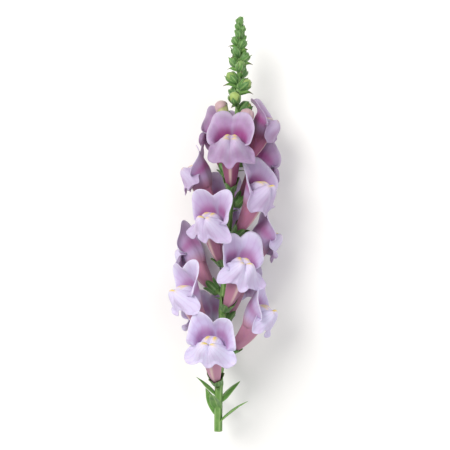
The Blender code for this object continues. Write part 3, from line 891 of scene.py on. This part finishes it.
def add_green_bud(sepals, buds, along, azimuth, share):
    """A closed bud: an egg of revolution on a short stalk, wrapped by five pointed sepals.

    Each sepal follows the egg's radius, its half angle falls to a point as (1 - t^1.6)^0.8, and its tip turns
    out with the cube of t. The oldest eggs are ripe: their tops show yellow green between the sepals.
    """
    length, width = between(share, *BUD_LENGTH), between(share, *BUD_WIDTH)
    ripe = 1 - smooth(share, 0.0, 0.45)
    direction = leaning(between(share, *BUD_RISE))[0]
    carry = on_stem(along, azimuth)
    turn = np.linspace(0, 2 * math.pi, 24, endpoint=False)
    heights = np.linspace(0, 1, 16)
    rings = []
    for at in heights:
        ribbed = egg_radius(at, width) * (0.92 + 0.05 * np.cos(SEPALS * turn) * (1 - at))
        rings.append(ring(at * length * direction, direction, ribbed, turn))
    ripeness = ripe * smooth(heights, 0.5, 0.75)[:, None] * np.ones(len(turn))
    add_loft(buds, np.stack(rings), carry, tip=ripeness, rib=0.1)
    s, t = np.meshgrid(np.linspace(-1, 1, 9), np.linspace(0, 1, 12))
    half = BUD_SEPAL_HALF_ANGLE * np.maximum(1 - t**1.6, 0) ** 0.8
    pale = np.maximum(0.55 * bump(s, 0.0, 0.18), 0.5 * smooth(np.abs(s), 0.72, 1.0))
    for sepal in range(SEPALS):
        uneven = math.sin(4.1 * sepal + along * 900)
        reach = 0.16 + (0.72 + 0.10 * uneven + 0.10 * (1 - ripe)) * t
        angle = sepal * 2 * math.pi / SEPALS + 0.5 + s * half
        least = 0.62 * width / 2 * smooth(t, 0.0, 0.3)
        flare = (0.5 + 0.35 * uneven) * width / BUD_WIDTH[0] * t**3
        radius = np.maximum(egg_radius(reach, width), least) + 0.12 + flare
        radius = radius - 0.10 * s**2 * t + 0.18 * bump(s, 0.0, 0.25)
        grid = combined((radius * np.sin(angle), SIDE), (radius * np.cos(angle), towards_stem(direction)),
                        (reach * length, direction))
        add_sheet(sepals, grid, BUD_SEPAL_THICKNESS, carry, rib=pale, tip=0.35 * smooth(t, 0.8, 1.0))


def add_leaf(shape, along, azimuth, length):
    """A lance-shaped leaf, folded along its rib and waving at its edges.

    Its spine is summed from steps whose angle grows by 0.55 of t, and its half width is a sine of t^0.8. Its
    side veins leave the rib as slanted waves.
    """
    t = np.linspace(0, 1, 40)
    s = np.linspace(-1, 1, 13)
    half = LEAF_WIDTH / 2 * (np.sin(math.pi * t**0.8) ** 0.9 + 0.16 * (1 - t) + 0.06)
    half[-1] *= 0.3
    arch = LEAF_RISE + 0.55 * t
    step = length / (len(t) - 1)
    spine = np.zeros((len(t), 3))
    spine[1:, 1] = np.cumsum(step * np.cos(arch[1:]))
    spine[1:, 2] = np.cumsum(step * np.sin(arch[1:]))
    back = np.column_stack([0 * t, np.sin(arch), -np.cos(arch)])
    fold = -0.35 * half[:, None] * np.abs(s) ** 1.3
    wave = 0.5 * np.multiply.outer(np.sin(9 * t), s)
    grid = spine[:, None, :] + fold[..., None] * back[:, None, :]
    grid = grid + combined((np.multiply.outer(half, s), SIDE), (-wave, np.array([0.0, 0.4, 0.9])))
    across, out = np.meshgrid(s, t)
    veins = bump(np.sin(26 * out - 9 * np.abs(across)), 1.0, 0.35) * (1 - np.abs(across))
    pale_lines = (0.75 * bump(across, 0.0, 0.11), 0.35 * veins, 0.4 * smooth(np.abs(across), 0.9, 1.0))
    add_sheet(shape, grid, LEAF_THICKNESS, on_stem(along, azimuth), rib=np.max(pale_lines, axis=0))


# The pieces


def make_corollas(flowers):
    """One piece for each flower and large bud, which stands for its own solid."""
    petal = petal_material()
    bud_skin = plant_material("ripening_bud", "#A9A875", "#C3C391", "#7F8F4E", "#B795A0")
    for flower in flowers:
        name = flower["name"]
        if flower["open"]:
            corolla = Shape(*PETAL_VALUES)
            add_corolla(corolla, flower)
            corolla.build(name + "_corolla", petal, "petal_lilac", name)
        else:
            bud = Shape(*PLANT_VALUES)
            add_large_bud(bud, flower)
            bud.build(name + "_closed", bud_skin, "bud_cream", name)


def make_green_parts(flowers):
    """The stem, leaves, sepals, bracts and green buds, which together stand for the leafy stem."""
    leaf_skin = plant_material("leaf_cuticle", "#4C7A35", "#6B9649", "#9FBE76", "#5B4636")
    stem_skin = plant_material("stem_cuticle", "#557F3C", "#72984F", "#9DBB77", "#6A4A3C")
    sepal_skin = plant_material("sepal_cuticle", "#3F6C33", "#5D8B45", "#A3C07C", "#5E5238")
    bud_skin = plant_material("young_bud", "#44703B", "#5F8E4C", "#8FB069", "#9BB062")
    stem, leaves, sepals, bracts, buds = (Shape(*PLANT_VALUES) for _ in range(5))
    add_stem(stem, flowers)
    for flower in flowers:
        add_calyx(sepals, flower)
        add_bract(bracts, flower["along"] - FLOWER_BRACT_BELOW, flower["azimuth"], FLOWER_BRACT_LENGTH,
                  FLOWER_BRACT_WIDTH, FLOWER_BRACT_RISE)
    for n in range(GREEN_BUDS):
        k = YOUNG_FLOWERS + LARGE_BUDS + 1 + n
        along, azimuth = bud_position(k), -k * DIVERGENCE
        share = n / (GREEN_BUDS - 1)
        add_green_bud(sepals, buds, along, azimuth, share)
        if n < BUDS_WITH_BRACT:
            add_bract(bracts, along - BUD_BRACT_BELOW, azimuth, BUD_BRACT_SHARE * between(share, *BUD_LENGTH),
                      BUD_BRACT_WIDTH, between(share, *BUD_RISE) + BUD_BRACT_LEAN, BUD_BRACT_CURL,
                      BUD_BRACT_TWIST)
    for n in range(LEAF_COUNT):
        along, azimuth = LEAF_FIRST + n * LEAF_SPACING, LEAF_TURN + n * DIVERGENCE
        add_leaf(leaves, along, azimuth, LEAF_LENGTH - n * LEAF_SHORTER_BY)
    stem.build("stem", stem_skin, "stem_green", "leafy_stem")
    leaves.build("leaves", leaf_skin, "stem_green", "leafy_stem")
    sepals.build("sepals", sepal_skin, "stem_green", "leafy_stem")
    bracts.build("bracts", leaf_skin, "stem_green", "leafy_stem")
    buds.build("tip_buds", bud_skin, "stem_green", "leafy_stem")


# Stage, light and camera


def make_stage():
    """A floor of pale paper, rough enough to look matt and wide enough to fill every view."""
    mesh = bpy.data.meshes.new("floor")
    corners = [(x * FLOOR_REACH, y * FLOOR_REACH, 0) for x, y in ((-1, -1), (1, -1), (1, 1), (-1, 1))]
    mesh.from_pydata(corners, [], [(0, 1, 2, 3)])
    floor = bpy.data.objects.new("floor", mesh)
    bpy.context.scene.collection.objects.link(floor)
    paper, _, _ = new_material("pale_matt_paper", {"Base Color": srgb("#F2F1EF"), "Roughness": 0.9})
    mesh.materials.append(paper)


def area_light(name, stand, size, power, colour):
    """A square lamp that looks from its stand at the lit point, just above the surface's middle."""
    light = bpy.data.lights.new(name, "AREA")
    light.size = size
    light.energy = power
    light.color = colour
    lamp = bpy.data.objects.new(name, light)
    lamp.location = stand
    lamp.rotation_euler = (Vector(LIT_POINT) - Vector(stand)).to_track_quat("-Z", "Y").to_euler()
    bpy.context.scene.collection.objects.link(lamp)


def make_light():
    """A large soft key from the upper left, a weaker fill from the right, and a pale even surround."""
    world = bpy.data.worlds.new("pale_room")
    world.use_nodes = True
    surround = world.node_tree.nodes["Background"]
    surround.inputs["Color"].default_value = (1.0, 1.0, 1.0, 1.0)
    surround.inputs["Strength"].default_value = 0.62
    bpy.context.scene.world = world
    bpy.context.scene.view_settings.view_transform = "Standard"
    area_light("key", stand=(-0.45, 0.35, 0.8), size=0.5, power=7.6, colour=(1.0, 0.98, 0.95))
    area_light("fill", stand=(0.6, -0.2, 0.6), size=0.6, power=2.0, colour=(0.95, 0.97, 1.0))


def make_camera():
    """Looks straight down, with the tip at the top of the square picture and the stem along its height."""
    lens = bpy.data.cameras.new("camera")
    lens.lens = LENS
    lens.sensor_width = SENSOR
    camera = bpy.data.objects.new("camera", lens)
    lowest, highest = (Vector(corner) for corner in cad_box)
    centre = (lowest + highest) / 2
    covered = (highest.y - lowest.y) * PICTURE_ROWS / STEM_ROWS
    camera.location = (centre.x, centre.y, PICTURE_PLANE + covered * LENS / SENSOR)
    bpy.context.scene.collection.objects.link(camera)
    bpy.context.scene.camera = camera


spike = all_flowers()
make_corollas(spike)
make_green_parts(spike)
make_stage()
make_light()
make_camera()
